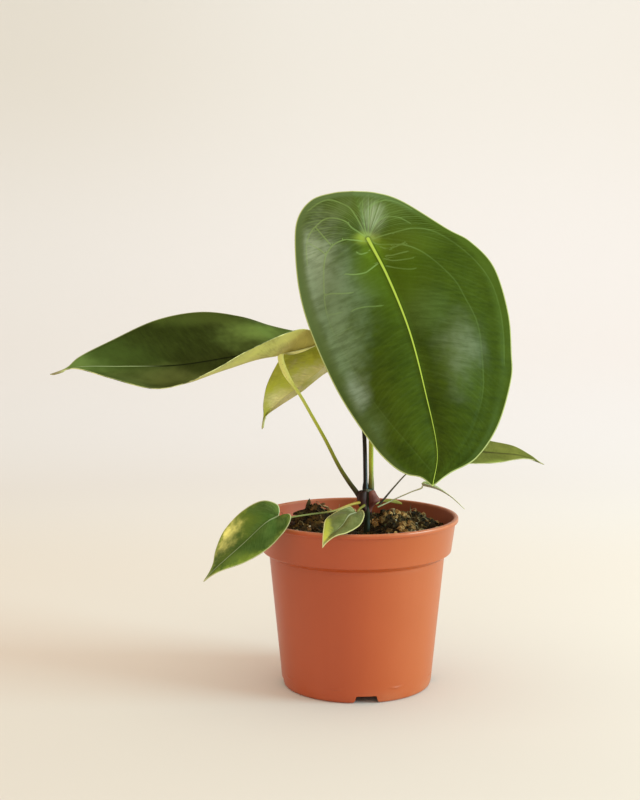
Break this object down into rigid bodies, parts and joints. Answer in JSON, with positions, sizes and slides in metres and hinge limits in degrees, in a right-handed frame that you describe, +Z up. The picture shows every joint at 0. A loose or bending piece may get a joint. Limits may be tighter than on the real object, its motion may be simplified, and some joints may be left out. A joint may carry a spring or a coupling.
{
  "type": "potted anthurium",
  "caption": "Young anthurium with glossy heart-shaped leaves on thin stalks, growing from a short crown in a terracotta-coloured plastic nursery pot of soil.",
  "frame": {"origin": "middle of the flat boss under the pot, on the surface that the pot stands on", "axes": "+Z up along the pot's axis, +X to the viewer's right, +Y away from the viewer"},
  "size_m": [0.2888, 0.1336, 0.2919],
  "materials": {
    "pot_plastic": "satin",
    "potting_mix": "matte",
    "dark_stem": "satin",
    "green_stalk": "satin",
    "leaf": "satin"
  },
  "bodies": {
    "root": {"pot": "pot_plastic", "soil": "potting_mix", "crown": "dark_stem", "bract": "green_stalk", "leaf_big": "leaf", "leaf_left": "leaf", "leaf_rear": "leaf", "leaf_right": "leaf", "leaf_young": "leaf", "leaf_lower": "leaf", "leaf_small": "leaf", "petiole_big": "green_stalk", "petiole_left": "green_stalk", "petiole_rear": "green_stalk", "petiole_right": "green_stalk", "petiole_young": "green_stalk", "petiole_lower": "green_stalk", "petiole_small": "green_stalk"}
  },
  "joints": []
}
